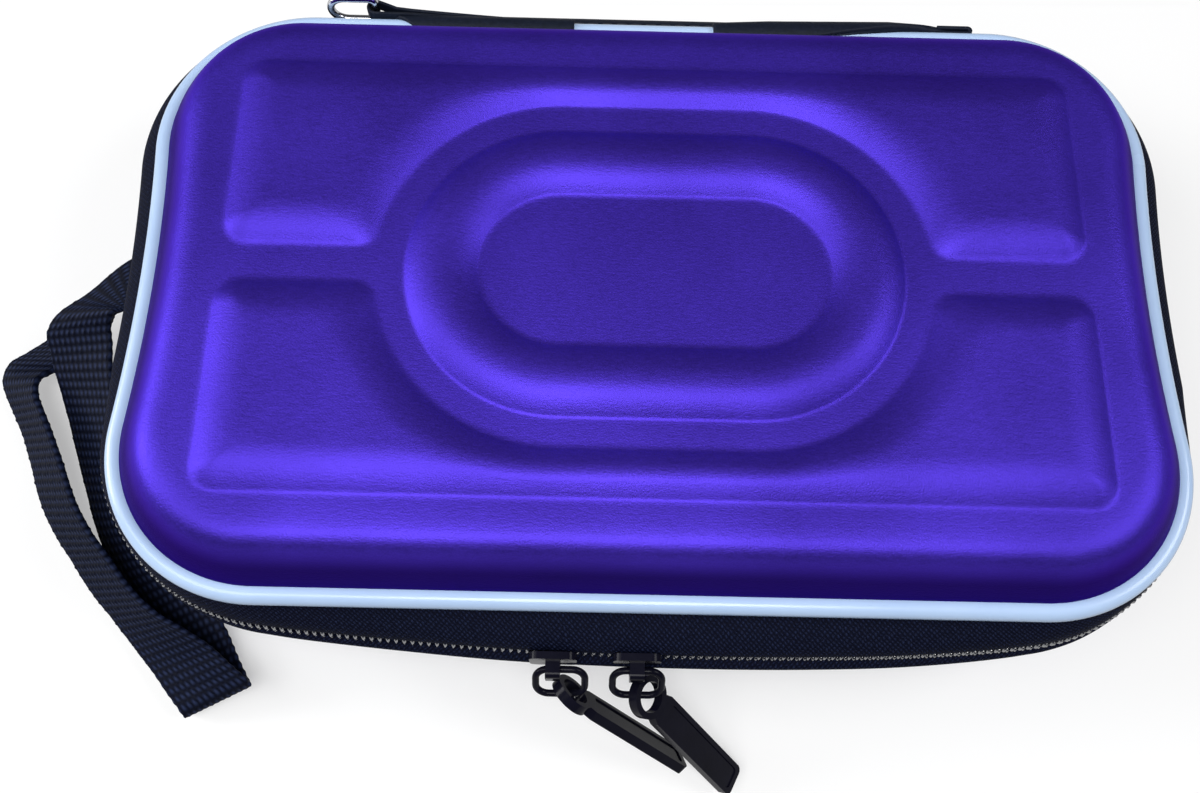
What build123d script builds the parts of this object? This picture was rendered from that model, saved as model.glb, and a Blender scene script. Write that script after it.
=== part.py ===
from build123d import *
import math
import os

# Moulded zip case for a portable game console, closed and lying on its flat base.
# Millimetres, +Z up. Front (zip pulls) is -Y, fabric hinge is +Y, wrist strap is at -X.

# rim line that the piping, zip tape and both shells follow
HALF_L = 88.6
HALF_D = 53.8
CORNER_R = 25.0
WAIST = 1.2

# heights
ZIP_Z = 26.0
SEAM_UP = 33.0
SEAM_LOW = 19.0
PLATEAU_Z = 47.0
LID_LEAN = -0.5
RELIEF_H = 2.2

# pressed relief of the lid
RELIEF_Y = -1.5
PANEL_L = 144.8
PANEL_D = 78.6
BAR_W = 6.6
STADIUM_S = 15.5
PAD_R = 13.7
RIDGE_R = 26.1
RING_R = 31.1

# piping and zip
PIPING_R = 1.8
PIPING_U = 0.6
PIPING_LIFT = 1.4
TAPE_U = 6.6
COIL_T = 1.2
HINGE_X0 = -50.0
HINGE_X1 = 58.0

# zip pulls
SLIDER_X = (-15.4, -1.6)
RING_SHIFT = (1.2, 0.2)
RING_W = 8.2
RING_H = 5.9
WIRE_R = 0.6
RING_SLOPE = 55.0
TAB_LEN = 27.4
TAB_T = 1.8
TAB_W = 5.6
EYE_HOLE_R = 2.6
EYE_R = 3.7

# D-ring and back tabs
DRING_X = -53.0
DRING_WIRE = 0.75
DRING_H = 6.0
DRING_DEPTH = 8.6

# wrist strap webbing
STRAP_T = 1.4

SIDE_SUM = (HALF_D - CORNER_R) ** 2 / (2.0 * WAIST)
PHI = math.asin((HALF_D - CORNER_R) / SIDE_SUM)
STRAIGHT = HALF_L - CORNER_R


# Rim line moved outward by d: straights, corner arcs and a shallow waist at each end.
def rim_points(d):
    r = CORNER_R + d
    yc = HALF_D - CORNER_R
    ex = STRAIGHT + r * math.cos(PHI)
    ey = yc - r * math.sin(PHI)
    mid = math.radians(90.0) / 2.0 - PHI / 2.0
    mx = STRAIGHT + r * math.cos(mid)
    my = yc + r * math.sin(mid)
    waist_x = STRAIGHT + SIDE_SUM * math.cos(PHI) - (SIDE_SUM - r)
    return r, ex, ey, mx, my, waist_x


# Clockwise path seen from above. It starts and ends on the back straight.
def rim_path(d, x_start, x_end, z=0.0):
    r, ex, ey, mx, my, wx = rim_points(d)
    yb = HALF_D + d
    a = STRAIGHT
    edges = [
        Line((x_start, yb, z), (a, yb, z)),
        ThreePointArc((a, yb, z), (mx, my, z), (ex, ey, z)),
        ThreePointArc((ex, ey, z), (wx, 0, z), (ex, -ey, z)),
        ThreePointArc((ex, -ey, z), (mx, -my, z), (a, -yb, z)),
        Line((a, -yb, z), (-a, -yb, z)),
        ThreePointArc((-a, -yb, z), (-mx, -my, z), (-ex, -ey, z)),
        ThreePointArc((-ex, -ey, z), (-wx, 0, z), (-ex, ey, z)),
        ThreePointArc((-ex, ey, z), (-mx, my, z), (-a, yb, z)),
        Line((-a, yb, z), (x_end, yb, z)),
    ]
    return Wire([e.edge() for e in edges])


# Flat face inside the rim line moved outward by d, at height z.
def rim_face(d, z):
    return Face(rim_path(d, 0.0, 0.0, z))


# Stack of rim faces joined into a solid. Each level is (offset, height); lean moves the top towards +Y.
def rim_solid(levels, lean=0.0):
    span = PLATEAU_Z - SEAM_UP
    return loft([Pos(0, lean * (z - SEAM_UP) / span) * rim_face(d, z) for d, z in levels], ruled=True)


# Section drawn as (outward offset, height) and carried along the rim.
def rim_sweep(points, x_start, x_end):
    plane = Plane(origin=(x_start, HALF_D, 0), x_dir=(0, 1, 0), z_dir=(1, 0, 0))
    section = plane * make_face(Polyline(*points, close=True))
    return sweep(section, path=rim_path(0.0, x_start, x_end)).solid()


def mirrored(points):
    return [(u, 2.0 * ZIP_Z - z) for u, z in points]


# Lid shell: fabric over foam, pressed in one piece, with a soft shoulder.
lid_outer = rim_solid([
    (-1.0, SEAM_UP), (-1.5, SEAM_UP + 2.4), (-2.3, SEAM_UP + 4.8), (-3.3, SEAM_UP + 7.0), (-4.4, SEAM_UP + 9.0),
    (-5.6, SEAM_UP + 11.0), (-6.8, SEAM_UP + 12.6), (-8.0, SEAM_UP + 13.6), (-9.8, PLATEAU_Z),
], LID_LEAN)
lid_inner = rim_solid([
    (-5.0, SEAM_UP - 0.01), (-5.0, SEAM_UP + 3.6), (-6.4, SEAM_UP + 6.2), (-8.6, SEAM_UP + 8.4),
    (-11.0, SEAM_UP + 10.0), (-13.4, SEAM_UP + 10.6),
])
lid_shell = lid_outer - lid_inner

# Pressed relief: two pillows with a stadium cut out of both, and a stadium ridge round a bare pad.
def stadium(r):
    return Pos(0, RELIEF_Y) * SlotOverall(2.0 * (STADIUM_S + r), 2.0 * r)


half_d = PANEL_D / 2.0 - BAR_W / 2.0
pillow_y = BAR_W / 2.0 + half_d / 2.0
relief_z = Pos(0, 0, PLATEAU_Z - 0.3)
for side in (1, -1):
    blank = Pos(0, RELIEF_Y + side * pillow_y) * RectangleRounded(PANEL_L, half_d, 4.0)
    pillow = extrude(relief_z * (blank - stadium(RING_R)), RELIEF_H + 0.3)
    top = pillow.edges().group_by(Axis.Z)[-1]
    lid_shell = lid_shell + fillet(top, 1.8)
ridge = extrude(relief_z * (stadium(RIDGE_R) - stadium(PAD_R)), RELIEF_H + 0.1)
lid_shell = lid_shell + fillet(ridge.edges().group_by(Axis.Z)[-1], 2.1)

# Base shell: same moulding, plain, with the flat underside the case rests on.
base_outer = rim_solid([
    (-11.4, 0.0), (-9.2, 0.4), (-7.2, 1.3), (-5.6, 2.7), (-4.3, 4.6), (-3.2, 7.2), (-2.3, 10.6), (-1.6, 14.4),
    (-1.0, SEAM_LOW),
])
base_inner = rim_solid([
    (-13.0, 3.6), (-10.8, 4.1), (-8.8, 5.3), (-7.2, 7.2), (-6.0, 9.8), (-5.0, 13.4), (-5.0, SEAM_LOW + 0.01),
])
base_shell = base_outer - base_inner

# Glossy piping bead on both rims.
def piping(z):
    plane = Plane(origin=(0, HALF_D, 0), x_dir=(0, 1, 0), z_dir=(1, 0, 0))
    bead = plane * Pos(PIPING_U, z) * Circle(PIPING_R)
    return sweep(bead, path=rim_path(0.0, 0.0, 0.0)).solid()


lid_piping = piping(SEAM_UP + PIPING_LIFT)
base_piping = piping(SEAM_LOW - PIPING_LIFT)
lid_shell = lid_shell - lid_piping
base_shell = base_shell - base_piping

# Zip tape: flange under the shell rim, bulging out to the coil.
TAPE = [
    (-4.6, SEAM_UP), (0.2, SEAM_UP), (2.6, 32.2), (4.6, 30.8), (6.0, 29.2), (TAPE_U, 27.8), (TAPE_U, 26.5),
    (TAPE_U - 1.0, 26.5), (TAPE_U - 1.0, 27.6), (5.1, 28.6), (3.9, 29.9), (2.2, 31.1), (0.0, 32.0), (-4.6, 32.0),
]
lid_zip_tape = rim_sweep(TAPE, HINGE_X1, HINGE_X0) - lid_piping
base_zip_tape = rim_sweep(mirrored(TAPE), HINGE_X1, HINGE_X0) - base_piping

# Zip coil: one half on each tape edge, with a slit for the slider necks.
COIL = [
    (TAPE_U, 26.5), (TAPE_U + 0.8, 26.5), (TAPE_U + COIL_T, 26.9), (TAPE_U + COIL_T, 27.8),
    (TAPE_U + 0.8, 28.2), (TAPE_U, 27.8),
]
lid_zip_coil = rim_sweep(COIL, HINGE_X1, HINGE_X0)
base_zip_coil = rim_sweep(mirrored(COIL), HINGE_X1, HINGE_X0)

# Inner seam binding: covers the sewn edge of shell and tape.
BINDING = [
    (-5.0, SEAM_UP + 3.5), (-5.9, SEAM_UP + 3.5), (-5.9, 31.1), (-3.2, 31.1), (-3.2, 32.0), (-4.6, 32.0),
    (-4.6, SEAM_UP), (-5.0, SEAM_UP),
]
lid_binding = rim_sweep(BINDING, 0.0, 0.0)
base_binding = rim_sweep(mirrored(BINDING), 0.0, 0.0)

# Fabric hinge: one strip sewn under both rims at the back.
HINGE_OUT = [
    (-4.6, SEAM_UP), (2.2, SEAM_UP), (4.2, 32.8), (5.8, 32.0), (6.9, 30.4), (7.3, 28.4), (7.4, 26.0),
]
HINGE_IN = [
    (6.4, 26.0), (6.3, 28.2), (5.9, 29.9), (5.1, 31.2), (3.9, 31.8), (2.2, 32.0), (-4.6, 32.0),
]
hinge_pts = HINGE_OUT + mirrored(HINGE_OUT)[-2::-1] + mirrored(HINGE_IN)[::-1] + HINGE_IN[1:]
hinge_plane = Plane(origin=(HINGE_X0, HALF_D, 0), x_dir=(0, 1, 0), z_dir=(1, 0, 0))
hinge_strip = extrude(hinge_plane * make_face(Polyline(*hinge_pts, close=True)), HINGE_X1 - HINGE_X0)
hinge_strip = hinge_strip - lid_piping - base_piping

# Laps of the hinge fabric over the lid piping, either side of a window.
def lap(x0, x1):
    plane = Plane(origin=(x0, HALF_D, 0), x_dir=(0, 1, 0), z_dir=(1, 0, 0))
    z = SEAM_UP + PIPING_LIFT
    ring = Pos(PIPING_U, z) * (Circle(PIPING_R + 0.7) - Circle(PIPING_R))
    keep = Polygon((PIPING_U, z), (PIPING_U + 3, z - 5.6), (PIPING_U + 6, z), (PIPING_U + 3, z + 5),
                   (PIPING_U - 2.5, z + 4), (PIPING_U - 6, z + 3.4), align=None)
    strip = extrude(plane * (ring & keep), x1 - x0)
    return strip - hinge_strip - lid_shell


lap_left = lap(-45.5, -15.0)
lap_right = lap(11.5, 28.0)

# Folded webbing tabs on the back; the left one carries the D-ring.
def back_tab(x_eye, x_tail, z_low, height, hole):
    plane = Plane(origin=(0, 0, z_low), x_dir=(1, 0, 0), z_dir=(0, 0, 1))
    u0 = HALF_D + 2.0
    width = abs(x_tail - x_eye)
    body = Pos((x_eye + x_tail) / 2.0, u0 + 1.0) * Rectangle(width, 2.0)
    face = body
    if hole:
        face = body + Pos(x_eye, u0 + 2.0) * Circle(1.7)
        face = face - Pos(x_eye, u0 + 2.0) * Circle(1.1)
    return extrude(plane * face, height)


ring_tab = back_tab(DRING_X, DRING_X + 7.2, 34.3, 2.4, True) - lid_piping - lid_zip_tape - hinge_strip
end_tab = back_tab(61.4, 54.6, 33.4, 1.8, False) - lid_piping - lid_zip_tape - hinge_strip

# Chrome D-ring, standing in its tab with the straight bar upright.
DRING_Y = HALF_D + 4.0
DRING_Z = 35.8
d_plane = Plane(origin=(DRING_X, DRING_Y, DRING_Z), x_dir=(-1, 0, 0), z_dir=(0, 1, 0))
h = DRING_H / 2.0
d_path = Wire([
    Line((0, -h), (0, h)).edge(), Line((0, h), (DRING_DEPTH - h, h)).edge(),
    ThreePointArc((DRING_DEPTH - h, h), (DRING_DEPTH, 0), (DRING_DEPTH - h, -h)).edge(),
    Line((DRING_DEPTH - h, -h), (0, -h)).edge(),
])
d_path = d_plane * d_path.fillet_2d(1.2, d_path.vertices().sort_by(Axis.X)[:2])
d_start = Plane(origin=d_path @ 0, z_dir=d_path % 0)
d_ring = sweep(d_start * Circle(DRING_WIRE), path=d_path).solid()

# Sliders: plate over the coil, lip on the base half, neck through the slit, keeper plate inside, lug in front.
RING_U = TAPE_U + 3.7
RING_Z = ZIP_Z - 1.0


def box_u(x, u0, u1, z0, z1, half_x):
    return Pos(x, -HALF_D - (u0 + u1) / 2.0, (z0 + z1) / 2.0) * Box(2.0 * half_x, u1 - u0, z1 - z0)


def make_slider(x):
    u = TAPE_U + COIL_T + 0.25
    plate = box_u(x, u, u + 1.2, ZIP_Z - 3.9, ZIP_Z + 3.9, 3.9)
    plate = fillet(plate.edges().filter_by(Axis.Y), 1.6)
    lip = box_u(x, u - 1.1, u, ZIP_Z - 3.9, ZIP_Z - 3.2, 2.2)
    neck = box_u(x, TAPE_U - 1.6, u, ZIP_Z - 0.35, ZIP_Z + 0.35, 0.9)
    keeper = box_u(x, TAPE_U - 2.4, TAPE_U - 1.3, ZIP_Z - 1.8, ZIP_Z + 1.8, 3.0)
    lug = box_u(x, u + 1.2, u + 4.1, ZIP_Z - 2.5, ZIP_Z + 2.5, 1.2)
    lug = fillet(lug.edges().filter_by(Axis.X).group_by(Axis.Y)[0], 0.9)
    tunnel = box_u(x, u + 1.2, u + 3.2, ZIP_Z - 1.7, ZIP_Z + 1.7, 2.0)
    return plate + lip + neck + keeper + (lug - tunnel)


# Link ring: closed wire loop through the lug.
def ring_plane(x):
    c = math.cos(math.radians(RING_SLOPE))
    s = math.sin(math.radians(RING_SLOPE))
    return Plane(origin=(x, -HALF_D - RING_U, RING_Z), x_dir=(1, 0, 0), z_dir=(0, s, -c))


def make_ring(x):
    path = ring_plane(x) * Pos(0, RING_H / 2.0) * RectangleRounded(RING_W, RING_H, 2.2).wire()
    start = Plane(origin=path @ 0, z_dir=path % 0)
    return sweep(start * Circle(WIRE_R), path=path).solid()


# Pull tab: straight cast tongue on an eye, with a raised border.
def make_tab(x, direction, normal):
    low = ring_plane(x).from_local_coords(Vector(0, RING_H, 0))
    d = Vector(*direction).normalized()
    n = Vector(*normal)
    n = (n - d * n.dot(d)).normalized()
    centre = low + d * 0.45
    plane = Plane(origin=centre, x_dir=d, z_dir=n)
    half = TAB_W / 2.0
    tongue = Polygon((2.6, -2.2), (4.2, -half), (TAB_LEN, -half), (TAB_LEN, half), (4.2, half), (2.6, 2.2), align=None)
    tongue = fillet(tongue.vertices().group_by(Axis.X)[-1], 1.1)
    blank = Circle(EYE_R) + tongue - Circle(EYE_HOLE_R)
    tab = extrude(plane.offset(-TAB_T / 2.0) * blank, TAB_T)
    inset = Pos((TAB_LEN + 5.2) / 2.0 - 0.5, 0) * RectangleRounded(TAB_LEN - 6.2, TAB_W - 1.8, 0.7)
    for lift in (TAB_T / 2.0 - 0.25, -TAB_T / 2.0):
        tab = tab - extrude(plane.offset(lift) * inset, 0.25)
    return tab


slider_left = make_slider(SLIDER_X[0])
slider_right = make_slider(SLIDER_X[1])
ring_x = (SLIDER_X[0] + RING_SHIFT[0], SLIDER_X[1] + RING_SHIFT[1])
pull_ring_left = make_ring(ring_x[0])
pull_ring_right = make_ring(ring_x[1])
pull_tab_left = make_tab(ring_x[0] + 1.7, (0.708, -0.349, -0.613), (0.68, 0.62, 0.37))
pull_tab_right = make_tab(ring_x[1] + 1.7, (0.583, -0.466, -0.665), (0.707, -0.178, 0.684))

# Wrist strap: one length of webbing, sewn in at the left seam, folded at the far end and brought back.
# Each station gives the upper and the lower edge of the webbing.
STRAP = [
    ((-89.5, 0.8, 19.3), (-89.5, 15.8, 19.3)), ((-93.4, 1.2, 18.8), (-94.5, 14.8, 18.8)),
    ((-96.4, 1.6, 18.5), (-99.8, 11.7, 18.0)), ((-98.8, 1.4, 18.6), (-107.4, 5.7, 15.6)),
    ((-100.7, 0.3, 18.6), (-114.6, 1.0, 13.0)), ((-101.6, -1.4, 16.3), (-115.8, -1.0, 11.6)),
    ((-101.5, -3.9, 14.9), (-115.6, -3.2, 9.8)), ((-101.4, -8.1, 13.6), (-115.0, -6.5, 7.6)),
    ((-100.6, -12.9, 12.5), (-113.7, -10.7, 5.6)), ((-99.5, -18.3, 12.1), (-111.9, -15.9, 4.0)),
    ((-97.8, -24.5, 11.7), (-109.7, -22.1, 3.0)), ((-95.0, -31.6, 11.2), (-106.8, -29.8, 2.2)),
    ((-91.9, -37.8, 10.5), (-103.9, -37.1, 1.6)), ((-87.2, -43.0, 9.1), (-99.8, -44.7, 1.2)),
    ((-82.0, -47.6, 6.7), (-94.9, -52.4, 0.9)), ((-76.2, -55.6, 4.7), (-89.6, -61.2, 0.8)),
    ((-72.4, -62.1, 5.3), (-85.5, -67.8, 0.8)), ((-70.5, -64.8, 6.2), (-83.5, -70.4, 1.3)),
    ((-69.7, -65.6, 7.4), (-82.7, -71.2, 2.3)), ((-69.9, -65.2, 8.8), (-82.8, -70.7, 3.4)),
    ((-72.3, -63.3, 10.0), (-85.1, -68.0, 3.6)), ((-76.4, -60.0, 10.7), (-89.1, -63.3, 3.4)),
    ((-81.4, -57.1, 11.8), (-93.3, -58.8, 2.8)), ((-86.8, -54.3, 12.0), (-97.9, -54.0, 1.9)),
    ((-92.4, -49.8, 11.2), (-103.4, -48.5, 1.1)), ((-97.2, -44.4, 11.1), (-108.0, -42.8, 0.8)),
    ((-101.7, -39.3, 11.0), (-112.5, -37.1, 0.8)), ((-105.4, -33.7, 11.1), (-116.0, -31.3, 0.8)),
    ((-108.4, -27.4, 11.4), (-118.7, -24.9, 0.8)), ((-111.6, -21.1, 11.5), (-121.6, -18.4, 0.9)),
    ((-114.2, -16.5, 11.2), (-123.9, -14.2, 1.2)), ((-116.2, -13.0, 10.4), (-125.8, -10.9, 1.6)),
    ((-116.9, -9.2, 8.9), (-127.2, -7.5, 2.2)), ((-114.6, -5.6, 5.8), (-126.4, -4.3, 2.8)),
    ((-110.4, -2.6, 6.6), (-122.9, -1.9, 3.6)), ((-106.0, -0.6, 9.6), (-118.8, 0.4, 5.2)),
    ((-102.4, 0.6, 14.2), (-115.4, 2.0, 9.2)), ((-100.9, 1.2, 16.8), (-113.2, 3.2, 12.0)),
    ((-99.2, 2.0, 17.5), (-107.4, 6.2, 14.6)),
]
FOLD = 18


def strap_section(i):
    top = Vector(*STRAP[i][0])
    low = Vector(*STRAP[i][1])
    a = (Vector(*STRAP[max(i - 1, 0)][0]) + Vector(*STRAP[max(i - 1, 0)][1])) * 0.5
    j = min(i + 1, len(STRAP) - 1)
    b = (Vector(*STRAP[j][0]) + Vector(*STRAP[j][1])) * 0.5
    n = (low - top).cross(b - a).normalized() * (STRAP_T / 2.0)
    return Face(Wire.make_polygon([top + n, low + n, low - n, top - n], close=True))


strap_out = loft([strap_section(i) for i in range(FOLD + 1)], ruled=True)
strap_back = loft([strap_section(i) for i in range(FOLD, len(STRAP))], ruled=True)
wrist_strap = strap_out + strap_back
wrist_strap = wrist_strap - base_zip_tape - base_zip_coil - base_piping - base_shell
wrist_strap = wrist_strap.solids().sort_by(SortBy.VOLUME)[-1]

# Lid pocket: net sewn to the wall binding, open edge in elastic.
pocket_area = rim_face(-5.0, 36.6) & Pos(0, 30 - 8.0, 36.6) * Rectangle(200, 60)
cells = [Pos(x, y, 36.6) * Rectangle(9.0, 3.6) for x in range(-66, 67, 12) for y in range(0, 41, 5)]
mesh_pocket = extrude(pocket_area - cells, 0.8) - lid_shell
elastic_area = rim_face(-5.0, 36.5) & Pos(0, -9.0, 36.5) * Rectangle(200, 4.0)
pocket_elastic = extrude(elastic_area, 1.7) - mesh_pocket - lid_shell

# Retaining band: flat elastic lying across the base floor.
retaining_band = Pos(20, 0, 4.2) * Box(24, 78, 1.2) - base_shell

os.makedirs("parts", exist_ok=True)
nodes = {
    "lid_shell": lid_shell, "base_shell": base_shell, "lid_piping": lid_piping, "base_piping": base_piping,
    "lid_zip_tape": lid_zip_tape, "base_zip_tape": base_zip_tape, "lid_zip_coil": lid_zip_coil,
    "base_zip_coil": base_zip_coil, "lid_binding": lid_binding, "base_binding": base_binding,
    "hinge_strip": hinge_strip, "lap_left": lap_left, "lap_right": lap_right, "ring_tab": ring_tab,
    "end_tab": end_tab, "d_ring": d_ring, "slider_left": slider_left, "slider_right": slider_right,
    "pull_ring_left": pull_ring_left, "pull_ring_right": pull_ring_right, "pull_tab_left": pull_tab_left,
    "pull_tab_right": pull_tab_right, "wrist_strap": wrist_strap,
    "mesh_pocket": mesh_pocket, "pocket_elastic": pocket_elastic, "retaining_band": retaining_band,
}
for name, shape in nodes.items():
    export_step(shape, "parts/" + name + ".step")
    box = shape.bounding_box()
    print(name, len(shape.solids()), round(shape.volume, 1), [round(v, 1) for v in (*box.min, *box.max)])
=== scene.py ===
import math
import bmesh
import bpy
import numpy as np
from mathutils import Matrix, Vector


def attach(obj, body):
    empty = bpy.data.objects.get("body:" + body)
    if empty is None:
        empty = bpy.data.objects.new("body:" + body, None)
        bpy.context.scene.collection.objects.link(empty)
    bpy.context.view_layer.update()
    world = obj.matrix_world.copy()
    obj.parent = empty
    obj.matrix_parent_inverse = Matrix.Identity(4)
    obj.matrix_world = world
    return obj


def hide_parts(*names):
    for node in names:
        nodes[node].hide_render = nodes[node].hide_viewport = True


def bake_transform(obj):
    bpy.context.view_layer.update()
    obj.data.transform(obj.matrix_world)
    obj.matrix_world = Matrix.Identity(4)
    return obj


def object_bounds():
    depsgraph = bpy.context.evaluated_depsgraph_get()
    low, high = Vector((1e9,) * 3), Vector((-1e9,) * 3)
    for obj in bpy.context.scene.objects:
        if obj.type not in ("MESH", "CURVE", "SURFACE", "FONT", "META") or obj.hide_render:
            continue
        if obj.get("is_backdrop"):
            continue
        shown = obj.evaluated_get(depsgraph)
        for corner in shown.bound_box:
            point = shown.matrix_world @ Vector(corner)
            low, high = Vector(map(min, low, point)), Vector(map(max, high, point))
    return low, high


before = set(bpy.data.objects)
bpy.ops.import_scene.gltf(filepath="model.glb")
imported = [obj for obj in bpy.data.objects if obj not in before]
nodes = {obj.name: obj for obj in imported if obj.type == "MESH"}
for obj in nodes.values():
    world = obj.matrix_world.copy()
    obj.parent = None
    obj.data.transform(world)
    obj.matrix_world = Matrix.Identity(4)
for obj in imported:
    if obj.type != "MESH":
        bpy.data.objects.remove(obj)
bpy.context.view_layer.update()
scene = bpy.context.scene
scene.view_settings.view_transform = "Standard"

# View of the photograph: a phone held close above the front of the case, looking steeply down.
# The place and turn of the camera come from the outlines of the pressed relief and the piping.
cam_data = bpy.data.cameras.new("photo_camera")
cam_data.lens = 35.157
cam_data.sensor_width = 36.0
cam_data.clip_start = 0.01
camera = bpy.data.objects.new("photo_camera", cam_data)
scene.collection.objects.link(camera)
elevation, azimuth, roll = math.radians(70.233), math.radians(-0.932), math.radians(2.176)
forward = Vector((-math.sin(azimuth) * math.cos(elevation), math.cos(azimuth) * math.cos(elevation),
                  -math.sin(elevation)))
level_right = Vector((math.cos(azimuth), math.sin(azimuth), 0.0))
level_up = level_right.cross(forward)
cam_right = level_right * math.cos(roll) + level_up * math.sin(roll)
cam_up = level_up * math.cos(roll) - level_right * math.sin(roll)
turn = Matrix((cam_right, cam_up, -forward)).transposed().to_4x4()
camera.matrix_world = Matrix.Translation((-0.00972, -0.08703, 0.22247)) @ turn
scene.camera = camera

# Table top and soft studio light: five wide lamps, the strongest overhead and the lowest at the left,
# and a dim even room. The table is white to the camera and darker to the light that it throws back.
def light(name, place, target, size, power):
    data = bpy.data.lights.new(name, "AREA")
    data.shape = "DISK"
    data.size = size
    data.energy = power
    lamp = bpy.data.objects.new(name, data)
    scene.collection.objects.link(lamp)
    aim = Vector(target) - Vector(place)
    lamp.matrix_world = Matrix.Translation(place) @ aim.to_track_quat("-Z", "Y").to_matrix().to_4x4()


light("top_lamp", (0.0, -0.29, 0.90), (0.0, 0.0, 0.03), 0.45, 4.2)
light("right_lamp", (0.67, 0.0, 0.67), (0.0, 0.0, 0.03), 0.45, 2.6)
light("front_left_lamp", (-0.45, -0.22, 0.82), (0.0, 0.0, 0.03), 0.45, 1.8)
light("left_lamp", (-0.67, 0.1, 0.67), (0.0, 0.0, 0.03), 0.45, 1.1)
light("low_left_lamp", (-0.89, 0.1, 0.32), (0.0, 0.0, 0.03), 0.45, 3.7)
world = bpy.data.worlds.new("pale_room")
world.use_nodes = True
world.node_tree.nodes["Background"].inputs["Color"].default_value = (0.93, 0.95, 1.0, 1.0)
world.node_tree.nodes["Background"].inputs["Strength"].default_value = 0.08
scene.world = world


# Each material starts as a node tree with its shader, and its pattern is added socket by socket.
def finish(name, colour, roughness, **values):
    mat = bpy.data.materials.new(name)
    mat.use_nodes = True
    shader = mat.node_tree.nodes["Principled BSDF"]
    shader.inputs["Base Color"].default_value = (*colour, 1.0)
    shader.inputs["Roughness"].default_value = roughness
    for key, value in values.items():
        shader.inputs[key.replace("_", " ")].default_value = value
    return mat, mat.node_tree, shader


def add(tree, kind, inputs=None, **settings):
    made = tree.nodes.new(kind)
    for key, value in settings.items():
        setattr(made, key, value)
    for key, value in (inputs or {}).items():
        if isinstance(value, bpy.types.NodeSocket):
            tree.links.new(value, made.inputs[key])
        else:
            made.inputs[key].default_value = value
    return made


def calc(tree, operation, a, b=0.0, c=0.0):
    return add(tree, "ShaderNodeMath", {0: a, 1: b, 2: c}, operation=operation).outputs[0]


def tint(tree, shader, factor, dark, bright):
    mix = add(tree, "ShaderNodeMix", {0: factor, 6: (*dark, 1.0), 7: (*bright, 1.0)}, data_type="RGBA")
    tree.links.new(mix.outputs[2], shader.inputs["Base Color"])


def relief(tree, shader, height, strength, distance):
    bump = add(tree, "ShaderNodeBump", {"Height": height, "Strength": strength, "Distance": distance})
    tree.links.new(bump.outputs["Normal"], shader.inputs["Normal"])


table_mat, tree, shader = finish("table_white", (0.6, 0.6, 0.6), 0.7, Specular_IOR_Level=0.1,
                                 Emission_Color=(1.0, 1.0, 1.0, 1.0))
rays = add(tree, "ShaderNodeLightPath").outputs
mirrored = calc(tree, "MAXIMUM", calc(tree, "MULTIPLY", rays["Is Glossy Ray"], 0.62), rays["Is Transmission Ray"])
seen = calc(tree, "MAXIMUM", rays["Is Camera Ray"], mirrored)
tint(tree, shader, seen, (0.08, 0.08, 0.085), (0.58, 0.58, 0.58))
tree.links.new(calc(tree, "MULTIPLY", seen, 0.42), shader.inputs["Emission Strength"])
table_mesh = bpy.data.meshes.new("table_top")
table_mesh.from_pydata([(-3, -3, 0), (3, -3, 0), (3, 3, 0), (-3, 3, 0)], [], [(0, 1, 2, 3)])
table_mesh.materials.append(table_mat)
table_top = bpy.data.objects.new("table_top", table_mesh)
table_top.location.z = -0.0002
scene.collection.objects.link(table_top)
table_top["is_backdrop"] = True

# Lid shell: foam board and satin knit pressed together in one hot mould, so the relief has crisp
# lines where the mould pinched it and soft crowns between. Its edge is sewn under the piping.
HALF_L, HALF_D, CORNER, WAIST = 88.6, 53.8, 25.0, 1.2
SIDE_SUM = (HALF_D - CORNER) ** 2 / (2.0 * WAIST)
LEAN = math.asin((HALF_D - CORNER) / SIDE_SUM)
STRAIGHT = HALF_L - CORNER
LID_EDGE, PLATEAU, ZIP_Z = 33.0, 47.0, 26.0


# Rim line of the case in millimetres, clockwise from the middle of the back, with outward directions.
def rim_line(step):
    runs = []
    runs.append([((x, HALF_D), (0.0, 1.0)) for x in np.arange(0.0, STRAIGHT, step)])
    turn_angles = np.arange(math.pi / 2, -LEAN, -step / CORNER)
    yc = HALF_D - CORNER
    runs.append([((STRAIGHT + CORNER * math.cos(a), yc + CORNER * math.sin(a)), (math.cos(a), math.sin(a)))
                 for a in turn_angles])
    side_r = SIDE_SUM - CORNER
    cx = STRAIGHT + SIDE_SUM * math.cos(LEAN)
    side_angles = np.arange(LEAN, 0.0, -step / side_r)
    runs.append([((cx - side_r * math.cos(a), side_r * math.sin(a)), (math.cos(a), -math.sin(a)))
                 for a in side_angles])
    quarter = [pair for run in runs for pair in run]
    waist = ((cx - side_r, 0.0), (1.0, 0.0))
    front = ((0.0, -HALF_D), (0.0, -1.0))
    lower = [((p[0], -p[1]), (n[0], -n[1])) for p, n in reversed(quarter[1:])]
    right = quarter + [waist] + lower + [front]
    left = [((-p[0], p[1]), (-n[0], n[1])) for p, n in reversed(right[1:-1])]
    pairs = right + left
    return np.array([p for p, n in pairs]), np.array([n for p, n in pairs])


def smooth_profile(points, count):
    points = np.array(points, float)
    run = np.concatenate([[0.0], np.cumsum(np.linalg.norm(np.diff(points, axis=0), axis=1))])
    slopes = np.gradient(points, run, axis=0)
    out = []
    for s in np.linspace(0.0, run[-1], count):
        i = min(int(np.searchsorted(run, s, side="right")) - 1, len(run) - 2)
        h = run[i + 1] - run[i]
        t = (s - run[i]) / h
        a, b = (1 + 2 * t) * (1 - t) ** 2, t * t * (3 - 2 * t)
        c, d = t * (1 - t) ** 2, t * t * (t - 1)
        out.append(a * points[i] + b * points[i + 1] + h * (c * slopes[i] + d * slopes[i + 1]))
    return np.array(out)


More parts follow.
